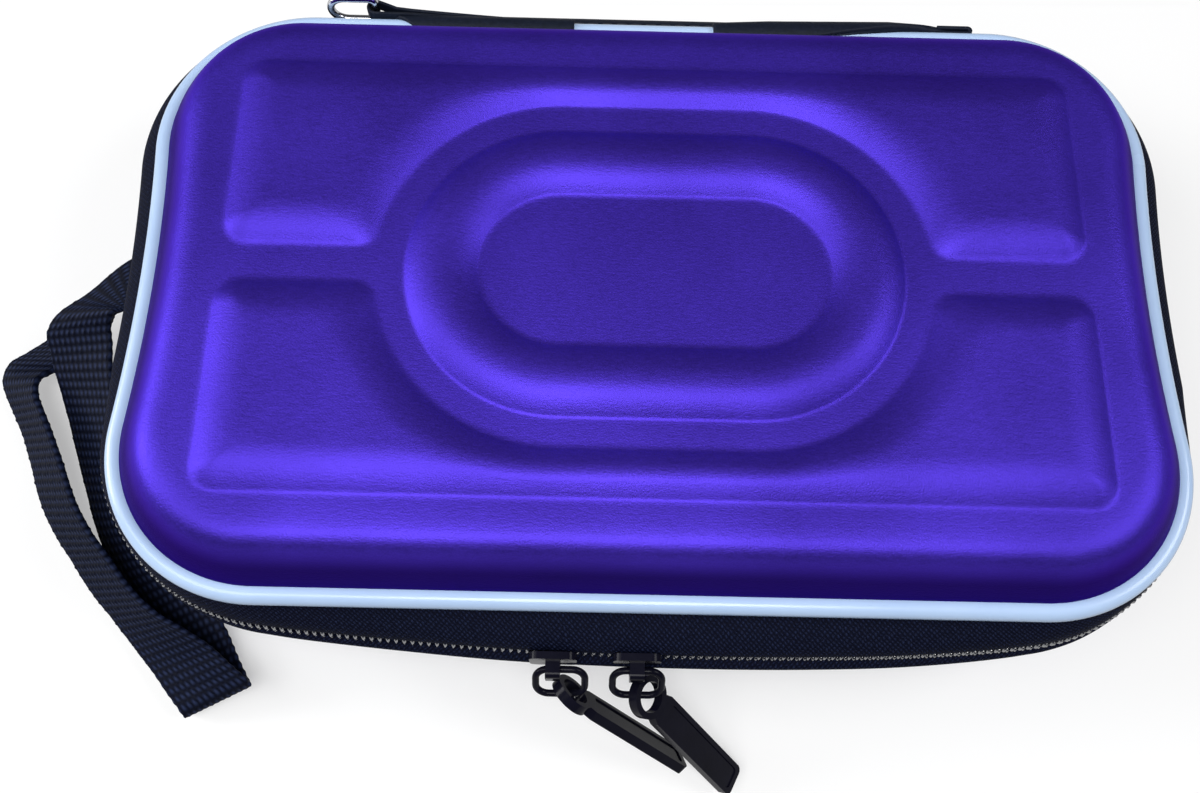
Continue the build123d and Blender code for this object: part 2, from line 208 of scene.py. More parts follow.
def mesh_piece(name, points, faces, mat, uv=None):
    mesh = bpy.data.meshes.new(name)
    mesh.from_pydata([tuple(p) for p in np.asarray(points, float) * 0.001], [],
                     [tuple(int(i) for i in f) for f in faces])
    if uv is not None:
        layer = mesh.uv_layers.new(name="run")
        corner = np.array([uv[k] for f in range(len(faces)) for k in range(4 * f, 4 * f + 4)], float)
        layer.data.foreach_set("uv", corner.ravel())
    mesh.materials.append(mat)
    mesh.polygons.foreach_set("use_smooth", [True] * len(mesh.polygons))
    piece = bpy.data.objects.new(name, mesh)
    scene.collection.objects.link(piece)
    return piece


def tidy_normals(piece, merge=0.00001):
    bm = bmesh.new()
    bm.from_mesh(piece.data)
    bmesh.ops.remove_doubles(bm, verts=bm.verts, dist=merge)
    bmesh.ops.recalc_face_normals(bm, faces=bm.faces)
    bm.to_mesh(piece.data)
    bm.free()


RELIEF_Y, HALF_SLOT = -1.5, 15.5
PAD, RIDGE, RING = 13.7, 26.1, 31.1
PANEL_X, PANEL_Y, BAR = 72.4, 39.3, 3.3
PRESSED, PILLOW_CROWN, RIDGE_CROWN = 2.25, 7.5, 6.2


def from_slot(x, y, radius):
    return np.hypot(np.maximum(np.abs(x) - HALF_SLOT, 0.0), y - RELIEF_Y) - radius


def rounded_min(a, b, soft):
    near = np.maximum(soft - np.abs(a - b), 0.0) / soft
    return np.minimum(a, b) - near * near * soft / 4.0


def crown(inside, width, foot):
    eased = np.where(inside > foot, inside, np.maximum(inside + foot, 0.0) ** 2 / (4.0 * foot))
    u = np.clip(eased / width, 0.0, 1.0)
    return 1.0 - (1.0 - u) ** 2


def lid_height(x, y):
    half, round_r = (PANEL_Y - BAR) / 2.0, 4.6
    past_side = np.abs(x) - PANEL_X + round_r
    past_bar = np.abs(np.abs(y - RELIEF_Y) - BAR - half) - half + round_r
    corner = np.hypot(np.maximum(past_side, 0.0), np.maximum(past_bar, 0.0))
    in_side, in_bar = np.maximum(-past_side, 0.0), np.maximum(-past_bar, 0.0)
    block = round_r - corner + in_side * in_bar / (in_side ** 3 + in_bar ** 3 + 1e-9) ** (1.0 / 3.0)
    pillow = rounded_min(block, from_slot(x, y, RING), 3.5)
    ridge = rounded_min(-from_slot(x, y, RIDGE), from_slot(x, y, PAD), 2.5)
    return PLATEAU + PRESSED * crown(pillow, PILLOW_CROWN, 0.4) + PRESSED * crown(ridge, RIDGE_CROWN, 0.2)


# Rays run from the slot line of the pad out to the rim, so the mould's crisp lines fall on mesh lines.
def rays_from_pad(inset, shift=0.0):
    base = rim + out * inset + (0.0, shift)
    foot = np.stack([np.clip(base[:, 0], -HALF_SLOT, HALF_SLOT), np.full(len(base), RELIEF_Y)], 1)
    away = base - foot
    reach = np.linalg.norm(away, axis=1)
    return foot, away / reach[:, None], reach


def rim_ring(inset, z, lean=0.0):
    inset, z = np.broadcast_to(inset, len(rim)), np.broadcast_to(z, len(rim))
    at = rim + out * inset[:, None]
    return np.column_stack([at[:, 0], at[:, 1] + lean * (z - LID_EDGE) / (PLATEAU - LID_EDGE), z])


def flat_rings(inset, z, count):
    foot, way, reach = rays_from_pad(inset)
    spots = [foot + way * (reach * t)[:, None] for t in np.linspace(0.94, 0.0, count)]
    return [np.column_stack([at, np.full(len(at), z)]) for at in spots]


def shell_piece(name, inner, outer, mat, lining):
    rings = inner[::-1] + outer
    n = len(rim)
    faces = [(j * n + i, j * n + (i + 1) % n, (j + 1) * n + (i + 1) % n, (j + 1) * n + i)
             for j in range(len(rings) - 1) for i in range(n)]
    piece = mesh_piece(name, np.concatenate(rings), faces, mat)
    piece.data.materials.append(lining)
    lined = (len(inner) - 1) * n
    piece.data.polygons.foreach_set("material_index", [1] * lined + [0] * (len(faces) - lined))
    tidy_normals(piece, 0.00002)
    return piece


shell_mat, tree, shader = finish("purple_satin_knit", (0.062, 0.031, 0.44), 0.46, Metallic=0.8,
                                 Specular_IOR_Level=0.02, Specular_Tint=(0.55, 0.38, 1.0, 1.0))
place = add(tree, "ShaderNodeTexCoord").outputs["Object"]
broad = add(tree, "ShaderNodeTexNoise", {"Vector": place, "Scale": 38.0, "Detail": 3.0})
drawn = add(tree, "ShaderNodeMapping", {"Vector": place, "Scale": (620.0, 2500.0, 2000.0)})
crinkle = add(tree, "ShaderNodeTexNoise", {"Vector": drawn.outputs[0], "Scale": 1.0, "Detail": 3.0,
                                           "Roughness": 0.6})
grain = add(tree, "ShaderNodeTexNoise", {"Vector": place, "Scale": 3600.0, "Detail": 2.0})
knit = calc(tree, "ADD", calc(tree, "MULTIPLY", crinkle.outputs["Fac"], 0.5),
            calc(tree, "MULTIPLY", grain.outputs["Fac"], 0.6))
shade = calc(tree, "ADD", calc(tree, "MULTIPLY", broad.outputs["Fac"], 0.5), calc(tree, "MULTIPLY", knit, 0.5))
height = add(tree, "ShaderNodeSeparateXYZ", {0: place}).outputs[2]
from_seam = calc(tree, "ABSOLUTE", calc(tree, "SUBTRACT", height, ZIP_Z * 0.001))
# Painted shade: the shell's colour darkens down the walls towards the zip seam, to 0.07 of its tone within 14 mm of
# the seam, full tone from 20.3 mm away.
seam_wall_painted_shade = add(tree, "ShaderNodeMapRange", {"Value": from_seam, "From Min": 0.0140, "From Max": 0.0203,
                                                 "To Min": 0.07, "To Max": 1.0}, interpolation_type="SMOOTHSTEP")
tint(tree, shader, calc(tree, "MULTIPLY", shade, seam_wall_painted_shade.outputs[0]), (0.016, 0.008, 0.115), (0.118, 0.059, 0.83))
relief(tree, shader, knit, 0.4, 0.00016)
tree.links.new(calc(tree, "MULTIPLY_ADD", knit, 0.22, 0.36), shader.inputs["Roughness"])

lining_mat, tree, shader = finish("dark_brushed_lining", (0.020, 0.020, 0.026), 0.85, Specular_IOR_Level=0.15,
                                  Sheen_Weight=0.25, Sheen_Roughness=0.5, Sheen_Tint=(0.7, 0.7, 0.8, 1.0))
place = add(tree, "ShaderNodeTexCoord").outputs["Object"]
nap = add(tree, "ShaderNodeTexNoise", {"Vector": place, "Scale": 2200.0, "Detail": 2.0})
brushed = add(tree, "ShaderNodeTexNoise", {"Vector": place, "Scale": 60.0, "Detail": 3.0})
tint(tree, shader,
     calc(tree, "MULTIPLY_ADD", brushed.outputs["Fac"], 0.5, calc(tree, "MULTIPLY", nap.outputs["Fac"], 0.5)),
     (0.010, 0.010, 0.014), (0.034, 0.034, 0.042))
relief(tree, shader, nap.outputs["Fac"], 0.4, 0.0002)

rim, out = rim_line(0.8)
LID_LEAN = -0.5
foot, way, reach = rays_from_pad(-11.0, LID_LEAN)
to_side = (PANEL_X - np.abs(foot[:, 0])) / np.maximum(np.abs(way[:, 0]), 1e-6)
panel = np.minimum(np.minimum(to_side, PANEL_Y / np.maximum(np.abs(way[:, 1]), 1e-6)), reach - 0.2)
lines = [reach, panel, np.full(len(rim), RING), np.full(len(rim), RIDGE), np.full(len(rim), PAD),
         np.zeros(len(rim))]
top_rings = []
for far, near, count in zip(lines[:-1], lines[1:], (5, 38, 8, 22, 12)):
    for s in np.linspace(0.0, 1.0, count + 1)[1:]:
        t = 0.5 * s + 0.5 * s * s * (3.0 - 2.0 * s)
        at = foot + way * (far + (near - far) * t)[:, None]
        top_rings.append(np.column_stack([at, lid_height(at[:, 0], at[:, 1])]))
lid_outer = smooth_profile([(-1.2, 33.0), (-0.9, 34.6), (-0.45, 35.9), (-1.0, 37.0), (-1.8, 38.6), (-2.8, 40.3),
                            (-3.8, 41.8), (-4.7, 43.1), (-5.6, 44.3), (-6.7, 45.45), (-7.9, 46.25),
                            (-9.2, 46.75), (-10.3, 46.95), (-11.0, 47.0)], 44)
lid_front = smooth_profile([(-1.2, 33.0), (-0.9, 34.6), (-0.45, 35.9), (-1.0, 37.3), (-1.75, 39.0), (-2.5, 40.7),
                            (-3.2, 42.2), (-3.9, 43.6), (-4.6, 44.8), (-5.4, 45.75), (-6.4, 46.4),
                            (-7.6, 46.78), (-9.0, 46.94), (-11.0, 47.0)], 44)
front_share = np.clip(-out[:, 1], 0.0, 1.0)[:, None] ** 1.5
lid_walls = [rim_ring(*(back + (front - back) * front_share).T, LID_LEAN)
             for back, front in zip(lid_outer, lid_front)]
lid_inner = smooth_profile([(-5.0, 33.0), (-5.0, 36.6), (-6.4, 39.2), (-8.6, 41.4), (-11.0, 43.0), (-13.4, 43.6)], 12)
lid_skin = shell_piece("lid_skin", [rim_ring(d, z) for d, z in lid_inner] + flat_rings(-13.4, 43.6, 7),
                       lid_walls + top_rings, shell_mat, lining_mat)
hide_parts("lid_shell")
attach(lid_skin, "lid")

# Base shell: foam board and knit in one pressing like the lid's, but with no relief, standing on its
# flat underside. Its edge is sewn under the lower piping.
base_outer = smooth_profile([(-1.0, 19.0), (-1.6, 14.4), (-2.3, 10.6), (-3.2, 7.2), (-4.3, 4.6), (-5.6, 2.7),
                             (-7.2, 1.3), (-9.2, 0.4), (-11.4, 0.0)], 24)
base_inner = smooth_profile([(-5.0, 19.0), (-5.0, 13.4), (-6.0, 9.8), (-7.2, 7.2), (-8.8, 5.3), (-10.8, 4.1),
                             (-13.0, 3.6)], 12)
base_skin = shell_piece("base_skin", [rim_ring(d, z) for d, z in base_inner] + flat_rings(-13.0, 3.6, 10),
                        [rim_ring(d, z) for d, z in base_outer] + flat_rings(-11.4, 0.0, 10), shell_mat, lining_mat)
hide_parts("base_shell")
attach(base_skin, "base")


# Piping: a solid bead of soft glossy plastic sewn into each rim, pale with a cold tint.
# The bead runs all the way round and its ends are butted at the back.
def length_along(points):
    return np.concatenate([[0.0], np.cumsum(np.linalg.norm(np.diff(points, axis=0), axis=1))]) * 0.001


def swept_piece(name, rings, mat, closed=False):
    rings = np.asarray(rings, float)
    n, m = rings.shape[:2]
    middle, around_line = rings.mean(axis=1), np.vstack([rings[0], rings[0][:1]])
    along, around = length_along(np.vstack([middle, middle[:1]])), length_along(around_line)
    faces, uv = [], []
    for i in range(n if closed else n - 1):
        k = (i + 1) % n
        for j in range(m):
            l = (j + 1) % m
            faces.append((i * m + j, i * m + l, k * m + l, k * m + j))
            uv += [(along[i], around[j]), (along[i], around[j + 1]),
                   (along[i + 1], around[j + 1]), (along[i + 1], around[j])]
    piece = mesh_piece(name, rings.reshape(-1, 3), faces, mat, uv)
    bm = bmesh.new()
    bm.from_mesh(piece.data)
    bmesh.ops.holes_fill(bm, edges=[e for e in bm.edges if e.is_boundary], sides=0)
    bm.to_mesh(piece.data)
    bm.free()
    tidy_normals(piece, 0.000001)
    return piece


def rim_path(inset, z, first=None, last=None, step=0.8):
    line, side = rim_line(step)
    if first is not None:
        behind = line[:, 1] > HALF_D - 0.01
        start = np.argmax(behind & (line[:, 0] >= first))
        stop = len(line) - np.argmax((behind & (line[:, 0] <= last) & (line[:, 0] < 0))[::-1])
        line, side = line[start:stop].copy(), side[start:stop]
        line[0, 0], line[-1, 0] = first, last
    return np.column_stack([line + side * inset, np.full(len(line), z)])


def rim_strip(name, section, mat):
    return swept_piece(name, np.stack([rim_path(u, z) for u, z in section], axis=1), mat, closed=True)


piping_mat, tree, shader = finish("pale_piping", (0.50, 0.66, 0.93), 0.24, Coat_Weight=0.25, Coat_Roughness=0.15)
place = add(tree, "ShaderNodeTexCoord").outputs["Object"]
smear = add(tree, "ShaderNodeTexNoise", {"Vector": place, "Scale": 90.0, "Detail": 4.0})
tint(tree, shader, smear.outputs["Fac"], (0.47, 0.64, 0.92), (0.55, 0.72, 0.98))
relief(tree, shader, smear.outputs["Fac"], 0.08, 0.0004)
tree.links.new(calc(tree, "MULTIPLY_ADD", smear.outputs["Fac"], 0.16, 0.16), shader.inputs["Roughness"])
PIPE_OUT, PIPE_R, LID_PIPE = 0.6, 1.8, 34.4
for body, z in (("lid", LID_PIPE), ("base", 2.0 * ZIP_Z - LID_PIPE)):
    ring = [(PIPE_OUT + PIPE_R * math.cos(a), z + PIPE_R * math.sin(a))
            for a in np.linspace(0.0, 2 * math.pi, 20, endpoint=False)]
    bead = rim_strip(body + "_piping_bead", ring, piping_mat)
    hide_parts(body + "_piping")
    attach(bead, body)


# Zip tape: black twill tape, one on each shell, sewn under the rim and bulging out to the coil. The
# lower one is slack and rolls out below the coil. Both bow out along the front and draw in round its
# corners: the bow is given as distance along the rim from the middle of the front, and share of bulge.
def run_and_across(tree):
    uv = add(tree, "ShaderNodeUVMap", uv_map="run").outputs[0]
    return add(tree, "ShaderNodeSeparateXYZ", {0: uv}).outputs


def wave(tree, value, period):
    swing = calc(tree, "SINE", calc(tree, "MULTIPLY", value, 2 * math.pi / period))
    return calc(tree, "MULTIPLY_ADD", swing, 0.5, 0.5)


ZIP_FIRST, ZIP_LAST, BASE_EDGE = 58.0, -50.0, 19.0
zip_bow = smooth_profile([(-118.0, 1.0), (-102.0, 0.80), (-87.0, 0.54), (-73.0, 0.52), (-57.0, 0.74),
                          (-40.0, 0.92), (-23.0, 1.06), (-7.0, 1.12), (10.0, 1.14), (27.0, 1.11),
                          (43.0, 1.02), (60.0, 0.80), (69.0, 0.62), (78.0, 0.50),
                          (89.0, 0.54), (103.0, 0.78), (118.0, 1.0)], 240)


def zip_path(bulge, z, step=0.8):
    path = rim_path(bulge, z, ZIP_FIRST, ZIP_LAST, step)
    if bulge <= 0.0:
        return path
    seam = rim_path(0.0, z, ZIP_FIRST, ZIP_LAST, step)
    run = length_along(seam) * 1000.0
    middle = np.argmin(np.abs(seam[:, 0]) + 1000.0 * (seam[:, 1] > 0.0))
    share = np.interp(run[middle] - run, zip_bow[:, 0], zip_bow[:, 1])
    return seam + (path - seam) * share[:, None]


def zip_strip(name, section, mat):
    return swept_piece(name, np.stack([zip_path(u, z) for u, z in section], axis=1), mat)


tape_mat, tree, shader = finish("black_zip_tape", (0.005, 0.007, 0.020), 0.7, Specular_IOR_Level=0.08)
run, across = run_and_across(tree)[:2]
place = add(tree, "ShaderNodeTexCoord").outputs["Object"]
fuzz = add(tree, "ShaderNodeTexNoise", {"Vector": place, "Scale": 1700.0, "Detail": 2.0})
drift = calc(tree, "MULTIPLY", fuzz.outputs["Fac"], 0.0008)
rise = wave(tree, calc(tree, "ADD", calc(tree, "ADD", run, across), drift), 0.0008)
fall = wave(tree, calc(tree, "SUBTRACT", run, calc(tree, "MULTIPLY_ADD", across, 0.8, drift)), 0.00095)
twill = calc(tree, "MULTIPLY", calc(tree, "MULTIPLY_ADD", fall, 0.85, 0.15), rise)
tint(tree, shader, calc(tree, "MULTIPLY", twill, fuzz.outputs["Fac"]),
     (0.0010, 0.0015, 0.008), (0.023, 0.034, 0.092))
relief(tree, shader, twill, 0.8, 0.0002)
lid_tape_out = smooth_profile([(0.2, 33.0), (2.6, 32.2), (4.8, 31.0), (6.4, 29.7), (7.1, 28.4), (7.0, 27.4),
                               (6.6, 26.7)], 16)
lid_tape_in = smooth_profile([(5.8, 26.7), (6.0, 27.6), (5.4, 28.8), (4.0, 30.0), (2.2, 31.1), (0.0, 32.0)], 8)
base_tape_out = smooth_profile([(0.2, 19.0), (2.8, 19.6), (5.2, 20.7), (7.2, 22.1), (8.3, 23.4), (8.5, 24.3),
                                (8.2, 24.9), (7.5, 25.2), (6.6, 25.4)], 22)
base_tape_in = smooth_profile([(5.8, 25.2), (6.4, 24.5), (7.2, 24.0), (7.3, 23.6), (6.3, 22.7), (4.6, 21.6),
                               (2.4, 20.5), (0.0, 20.0)], 12)
for body, outside, inside, edge in (("lid", lid_tape_out, lid_tape_in, LID_EDGE),
                                    ("base", base_tape_out, base_tape_in, BASE_EDGE)):
    fold = edge + (ZIP_Z - edge) / 7.0
    section = np.vstack([[(-4.6, edge)], outside, inside, [(-4.6, fold)]])
    tape = zip_strip(body + "_tape", section, tape_mat)
    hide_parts(body + "_zip_tape")
    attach(tape, body)


# Zip coil: nylon monofilament wound into teeth round a sewn core along each tape edge, the two
# halves meshing at the middle. One tooth is made and set along the rim every 1.35 mm.
def set_along(name, lines, item, pitch, mat, pivot="Z"):
    points = np.concatenate(lines) * 0.001
    starts = np.cumsum([0] + [len(line) for line in lines])
    edges = [(i, i + 1) for a, b in zip(starts[:-1], starts[1:]) for i in range(a, b - 1)]
    path = bpy.data.meshes.new(name)
    path.from_pydata([tuple(p) for p in points], [(int(a), int(b)) for a, b in edges], [])
    piece = bpy.data.objects.new(name, path)
    scene.collection.objects.link(piece)
    tree = bpy.data.node_groups.new(name, "GeometryNodeTree")
    tree.interface.new_socket("Geometry", in_out="INPUT", socket_type="NodeSocketGeometry")
    pitch_in = tree.interface.new_socket("Pitch", in_out="INPUT", socket_type="NodeSocketFloat")
    item_in = tree.interface.new_socket("Item", in_out="INPUT", socket_type="NodeSocketObject")
    finish_in = tree.interface.new_socket("Finish", in_out="INPUT", socket_type="NodeSocketMaterial")
    tree.interface.new_socket("Geometry", in_out="OUTPUT", socket_type="NodeSocketGeometry")
    given = tree.nodes.new("NodeGroupInput").outputs
    curve = add(tree, "GeometryNodeMeshToCurve", {0: given["Geometry"]})
    spaced = add(tree, "GeometryNodeResampleCurve", {"Curve": curve.outputs[0], "Length": given["Pitch"]},
                 mode="LENGTH")
    heading = tree.nodes.new("GeometryNodeInputTangent")
    turned = add(tree, "FunctionNodeAlignRotationToVector", {"Vector": heading.outputs[0]}, axis="X",
                 pivot_axis=pivot)
    source = add(tree, "GeometryNodeObjectInfo", {"Object": given["Item"]})
    placed = add(tree, "GeometryNodeInstanceOnPoints", {"Points": spaced.outputs[0],
                                                        "Instance": source.outputs["Geometry"],
                                                        "Rotation": turned.outputs[0]})
    real = add(tree, "GeometryNodeRealizeInstances", {0: placed.outputs[0]})
    coated = add(tree, "GeometryNodeSetMaterial", {"Geometry": real.outputs[0], "Material": given["Finish"]})
    tree.links.new(coated.outputs[0], tree.nodes.new("NodeGroupOutput").inputs[0])
    modifier = piece.modifiers.new("along", "NODES")
    modifier.node_group = tree
    modifier[pitch_in.identifier] = pitch * 0.001
    modifier[item_in.identifier] = item
    modifier[finish_in.identifier] = mat
    return as_plain_mesh(piece, modifier)


def as_plain_mesh(piece, modifier):
    bpy.context.view_layer.update()
    made = bpy.data.meshes.new_from_object(piece.evaluated_get(bpy.context.evaluated_depsgraph_get()))
    piece.modifiers.remove(modifier)
    first = piece.data
    piece.data = made
    bpy.data.meshes.remove(first)
    return piece


def bead_item(name, line, radii, sides=6):
    line = np.array(line, float)
    points, faces = [], []
    for i, p in enumerate(line):
        ahead = line[min(i + 1, len(line) - 1)] - line[max(i - 1, 0)]
        ahead = ahead / np.linalg.norm(ahead)
        first = np.cross(ahead, (1.0, 0.0, 0.0) if abs(ahead[0]) < 0.9 else (0.0, 1.0, 0.0))
        first = first / np.linalg.norm(first)
        second = np.cross(ahead, first)
        for a in np.linspace(0.0, 2 * math.pi, sides, endpoint=False):
            points.append(p + radii[i] * (math.cos(a) * first + math.sin(a) * second))
    for i in range(len(line) - 1):
        for j in range(sides):
            k = (j + 1) % sides
            faces.append((i * sides + j, i * sides + k, (i + 1) * sides + k, (i + 1) * sides + j))
    faces.append(tuple(range(sides))[::-1])
    faces.append(tuple(range((len(line) - 1) * sides, len(line) * sides)))
    mesh = bpy.data.meshes.new(name)
    mesh.from_pydata([tuple(p * 0.001) for p in points], [], faces)
    mesh.polygons.foreach_set("use_smooth", [True] * len(mesh.polygons))
    item = bpy.data.objects.new(name, mesh)
    tidy_normals(item, 0.0000001)
    return item


coil_mat, tree, shader = finish("black_nylon_coil", (0.014, 0.015, 0.024), 0.12, Specular_IOR_Level=1.0,
                                IOR=1.9, Coat_Weight=1.0, Coat_Roughness=0.06, Coat_IOR=2.0)
place = add(tree, "ShaderNodeTexCoord").outputs["Object"]
worn = add(tree, "ShaderNodeTexNoise", {"Vector": place, "Scale": 420.0, "Detail": 2.0})
tint(tree, shader, worn.outputs["Fac"], (0.006, 0.008, 0.016), (0.022, 0.026, 0.045))
tree.links.new(calc(tree, "MULTIPLY_ADD", worn.outputs["Fac"], 0.14, 0.05), shader.inputs["Roughness"])
TOOTH_PITCH, COIL_OUT = 1.35, 6.85
for body, flip, lag in (("lid", 1.0, 0), ("base", -1.0, 1)):
    tooth = bead_item(body + "_tooth", [(0.0, -0.35, flip * 2.0), (0.0, 0.1, flip * 1.9), (0.05, 0.28, flip * 1.2),
                                        (0.0, 0.22, flip * 0.45), (-0.05, 0.02, flip * 0.02),
                                        (-0.08, -0.3, flip * 0.1)],
                      [0.30, 0.36, 0.37, 0.37, 0.38, 0.3])
    coil_line = zip_path(COIL_OUT, ZIP_Z, 0.5)[lag:]
    teeth = set_along(body + "_coil_teeth", [coil_line], tooth, TOOTH_PITCH, coil_mat)
    bpy.data.objects.remove(tooth)
    sewn = ((6.4, 0.62), (6.8, 0.6), (6.95, 0.9), (6.95, 1.7), (6.7, 2.0), (6.4, 1.9))
    section = [(u, ZIP_Z + flip * z) for u, z in sewn]
    core = zip_strip(body + "_coil_core", section, tape_mat)
    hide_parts(body + "_zip_coil")
    for piece in (teeth, core):
        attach(piece, body)

# Hinge: a smooth black fabric strip sewn under both rims at the back. Two laps of the same fabric
# are folded up over the lid's piping, leave a window between them, and run out at their outer ends.
hinge_mat, tree, shader = finish("black_hinge_fabric", (0.006, 0.009, 0.020), 0.6, Specular_IOR_Level=0.2)
place = add(tree, "ShaderNodeTexCoord").outputs["Object"]
fine = add(tree, "ShaderNodeTexNoise", {"Vector": place, "Scale": 1500.0, "Detail": 3.0})
fold = add(tree, "ShaderNodeTexNoise", {"Vector": place, "Scale": 70.0, "Detail": 2.0})
tint(tree, shader, fine.outputs["Fac"], (0.002, 0.004, 0.009), (0.010, 0.015, 0.032))
relief(tree, shader, calc(tree, "MULTIPLY_ADD", fold.outputs["Fac"], 1.5, fine.outputs["Fac"]), 0.35, 0.0003)


def across_back(x, section):
    section = np.array(section, float)
    return np.column_stack([np.full(len(section), x), HALF_D + section[:, 0], section[:, 1]])


hinge_out = smooth_profile([(2.2, 33.0), (4.2, 32.8), (5.8, 32.0), (6.9, 30.4), (7.3, 28.4), (7.4, 26.0),
                            (7.3, 23.6), (6.9, 21.6), (5.8, 20.0), (4.2, 19.2), (2.2, 19.0)], 36)
hinge_in = smooth_profile([(2.2, 20.0), (3.9, 20.2), (5.1, 20.8), (5.9, 22.1), (6.3, 23.8), (6.4, 26.0),
                           (6.3, 28.2), (5.9, 29.9), (5.1, 31.2), (3.9, 31.8), (2.2, 32.0)], 30)
hinge_section = np.vstack([[(-4.6, LID_EDGE)], hinge_out, [(-4.6, BASE_EDGE), (-4.6, BASE_EDGE + 1.0)], hinge_in,
                           [(-4.6, LID_EDGE - 1.0)]])
hinge_rings = [across_back(x, hinge_section) for x in np.linspace(ZIP_LAST, ZIP_FIRST, 61)]
hinge = swept_piece("fabric_hinge", hinge_rings, hinge_mat)
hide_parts("hinge_strip")
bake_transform(hinge)
LAP_IN = 1.82
lap_runs = (("left", (-49.5, -43.5, -15.0), (25.0, 150.0, 150.0), (2.5, 2.7, 2.6)),
            ("right", (11.5, 22.0, 45.0, 57.0), (150.0, 150.0, 70.0, 0.0), (2.6, 3.1, 3.5, 2.9)))
for side, xs, covers, swells in lap_runs:
    rings = []
    for x in np.linspace(xs[0], xs[-1], 61):
        angles = np.radians(np.linspace(-62.0, np.interp(x, xs, covers), 20))
        swell = np.interp(x, xs, swells)
        over = [(PIPE_OUT + swell * math.cos(a), LID_PIPE + swell * math.sin(a)) for a in angles]
        under = [(PIPE_OUT + LAP_IN * math.cos(a), LID_PIPE + LAP_IN * math.sin(a)) for a in angles[::-1]]
        rings.append(across_back(x, over + under))
    lap = swept_piece("hinge_lap_" + side, rings, hinge_mat)
    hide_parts("lap_" + side)
    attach(lap, "lid")


# Folded tabs: short lengths of the hinge fabric sewn over the back edge, the left one round the bar
# of the D-ring. The ring itself is bent and welded wire, chrome plated.
def folded_tab(name, path, thickness, low, tops, mat):
    path = np.array(path, float)
    ahead = np.gradient(path, axis=0)
    aside = np.column_stack([-ahead[:, 1], ahead[:, 0]]) / np.linalg.norm(ahead, axis=1)[:, None]
    rings = []
    for level, t in ((0.0, 0.3), (0.05, 0.46), (0.12, 0.5), (0.88, 0.5), (0.95, 0.46), (1.0, 0.3)):
        outline = np.vstack([path + aside * thickness * t, (path - aside * thickness * t)[::-1]])
        heights = low + (np.asarray(tops) - low) * level
        rings.append(np.column_stack([outline, np.concatenate([heights, heights[::-1]])]))
    return swept_piece(name, rings, mat)


bar_x, bar_y = -53.0, 57.8
round_bar = [(bar_x + 1.4 * math.cos(a), bar_y + 1.4 * math.sin(a))
             for a in np.radians(np.arange(270.0, 80.0, -15.0))]
inner_leg = [(x, 56.45) for x in (-22.0, -28.0, -34.0, -40.0, -46.0, -51.3)]
outer_leg = [(-51.2, 58.5), (-49.0, 57.6), (-46.0, 57.3), (-40.0, 57.15), (-34.0, 57.05),
             (-28.0, 57.0), (-22.0, 56.95)]
ring_path = inner_leg + round_bar + outer_leg
round_end = [(60.6 + 0.6 * math.cos(a), 56.8 + 0.6 * math.sin(a))
             for a in np.radians(np.arange(-90.0, 91.0, 22.5))]
end_path = [(54.8, 56.2), (57.8, 56.2)] + round_end + [(57.8, 57.4), (54.8, 57.4)]
ring_tops = np.interp([x for x, y in ring_path], (-47.0, -22.0), (36.7, 34.6))
end_tops = np.full(len(end_path), 35.2)
for name, path, thickness, low, tops in (("ring_tab", ring_path, 0.6, 34.3, ring_tops),
                                         ("end_tab", end_path, 0.7, 33.4, end_tops)):
    tab = folded_tab(name + "_fold", path, thickness, low, tops, hinge_mat)
    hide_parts(name)
    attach(tab, "lid")
chrome_mat, tree, shader = finish("chrome_wire", (0.66, 0.66, 0.68), 0.14, Metallic=1.0)
place = add(tree, "ShaderNodeTexCoord").outputs["Object"]
rub = add(tree, "ShaderNodeTexNoise", {"Vector": place, "Scale": 900.0, "Detail": 3.0})
tree.links.new(calc(tree, "MULTIPLY_ADD", rub.outputs["Fac"], 0.18, 0.06), shader.inputs["Roughness"])
tint(tree, shader, rub.outputs["Fac"], (0.60, 0.60, 0.62), (0.74, 0.74, 0.76))
nodes["d_ring"].data.materials.clear()
nodes["d_ring"].data.materials.append(chrome_mat)

# Sliders, link rings and pull tabs: die-cast zinc with a thin black satin paint that shows grey
# where it is rubbed.
pull_mat, tree, shader = finish("black_painted_zinc", (0.003, 0.003, 0.008), 0.2, Specular_IOR_Level=0.09)
place = add(tree, "ShaderNodeTexCoord").outputs["Object"]
cast = add(tree, "ShaderNodeTexNoise", {"Vector": place, "Scale": 1100.0, "Detail": 3.0})
rubbed = add(tree, "ShaderNodeTexNoise", {"Vector": place, "Scale": 160.0, "Detail": 4.0})
tint(tree, shader, rubbed.outputs["Fac"], (0.002, 0.002, 0.006), (0.009, 0.009, 0.018))
relief(tree, shader, cast.outputs["Fac"], 0.12, 0.0001)
tree.links.new(calc(tree, "MULTIPLY_ADD", rubbed.outputs["Fac"], 0.14, 0.10), shader.inputs["Roughness"])
for name in ("slider_left", "slider_right", "pull_ring_left", "pull_ring_right", "pull_tab_left",
             "pull_tab_right"):
    nodes[name].data.materials.clear()
    nodes[name].data.materials.append(pull_mat)

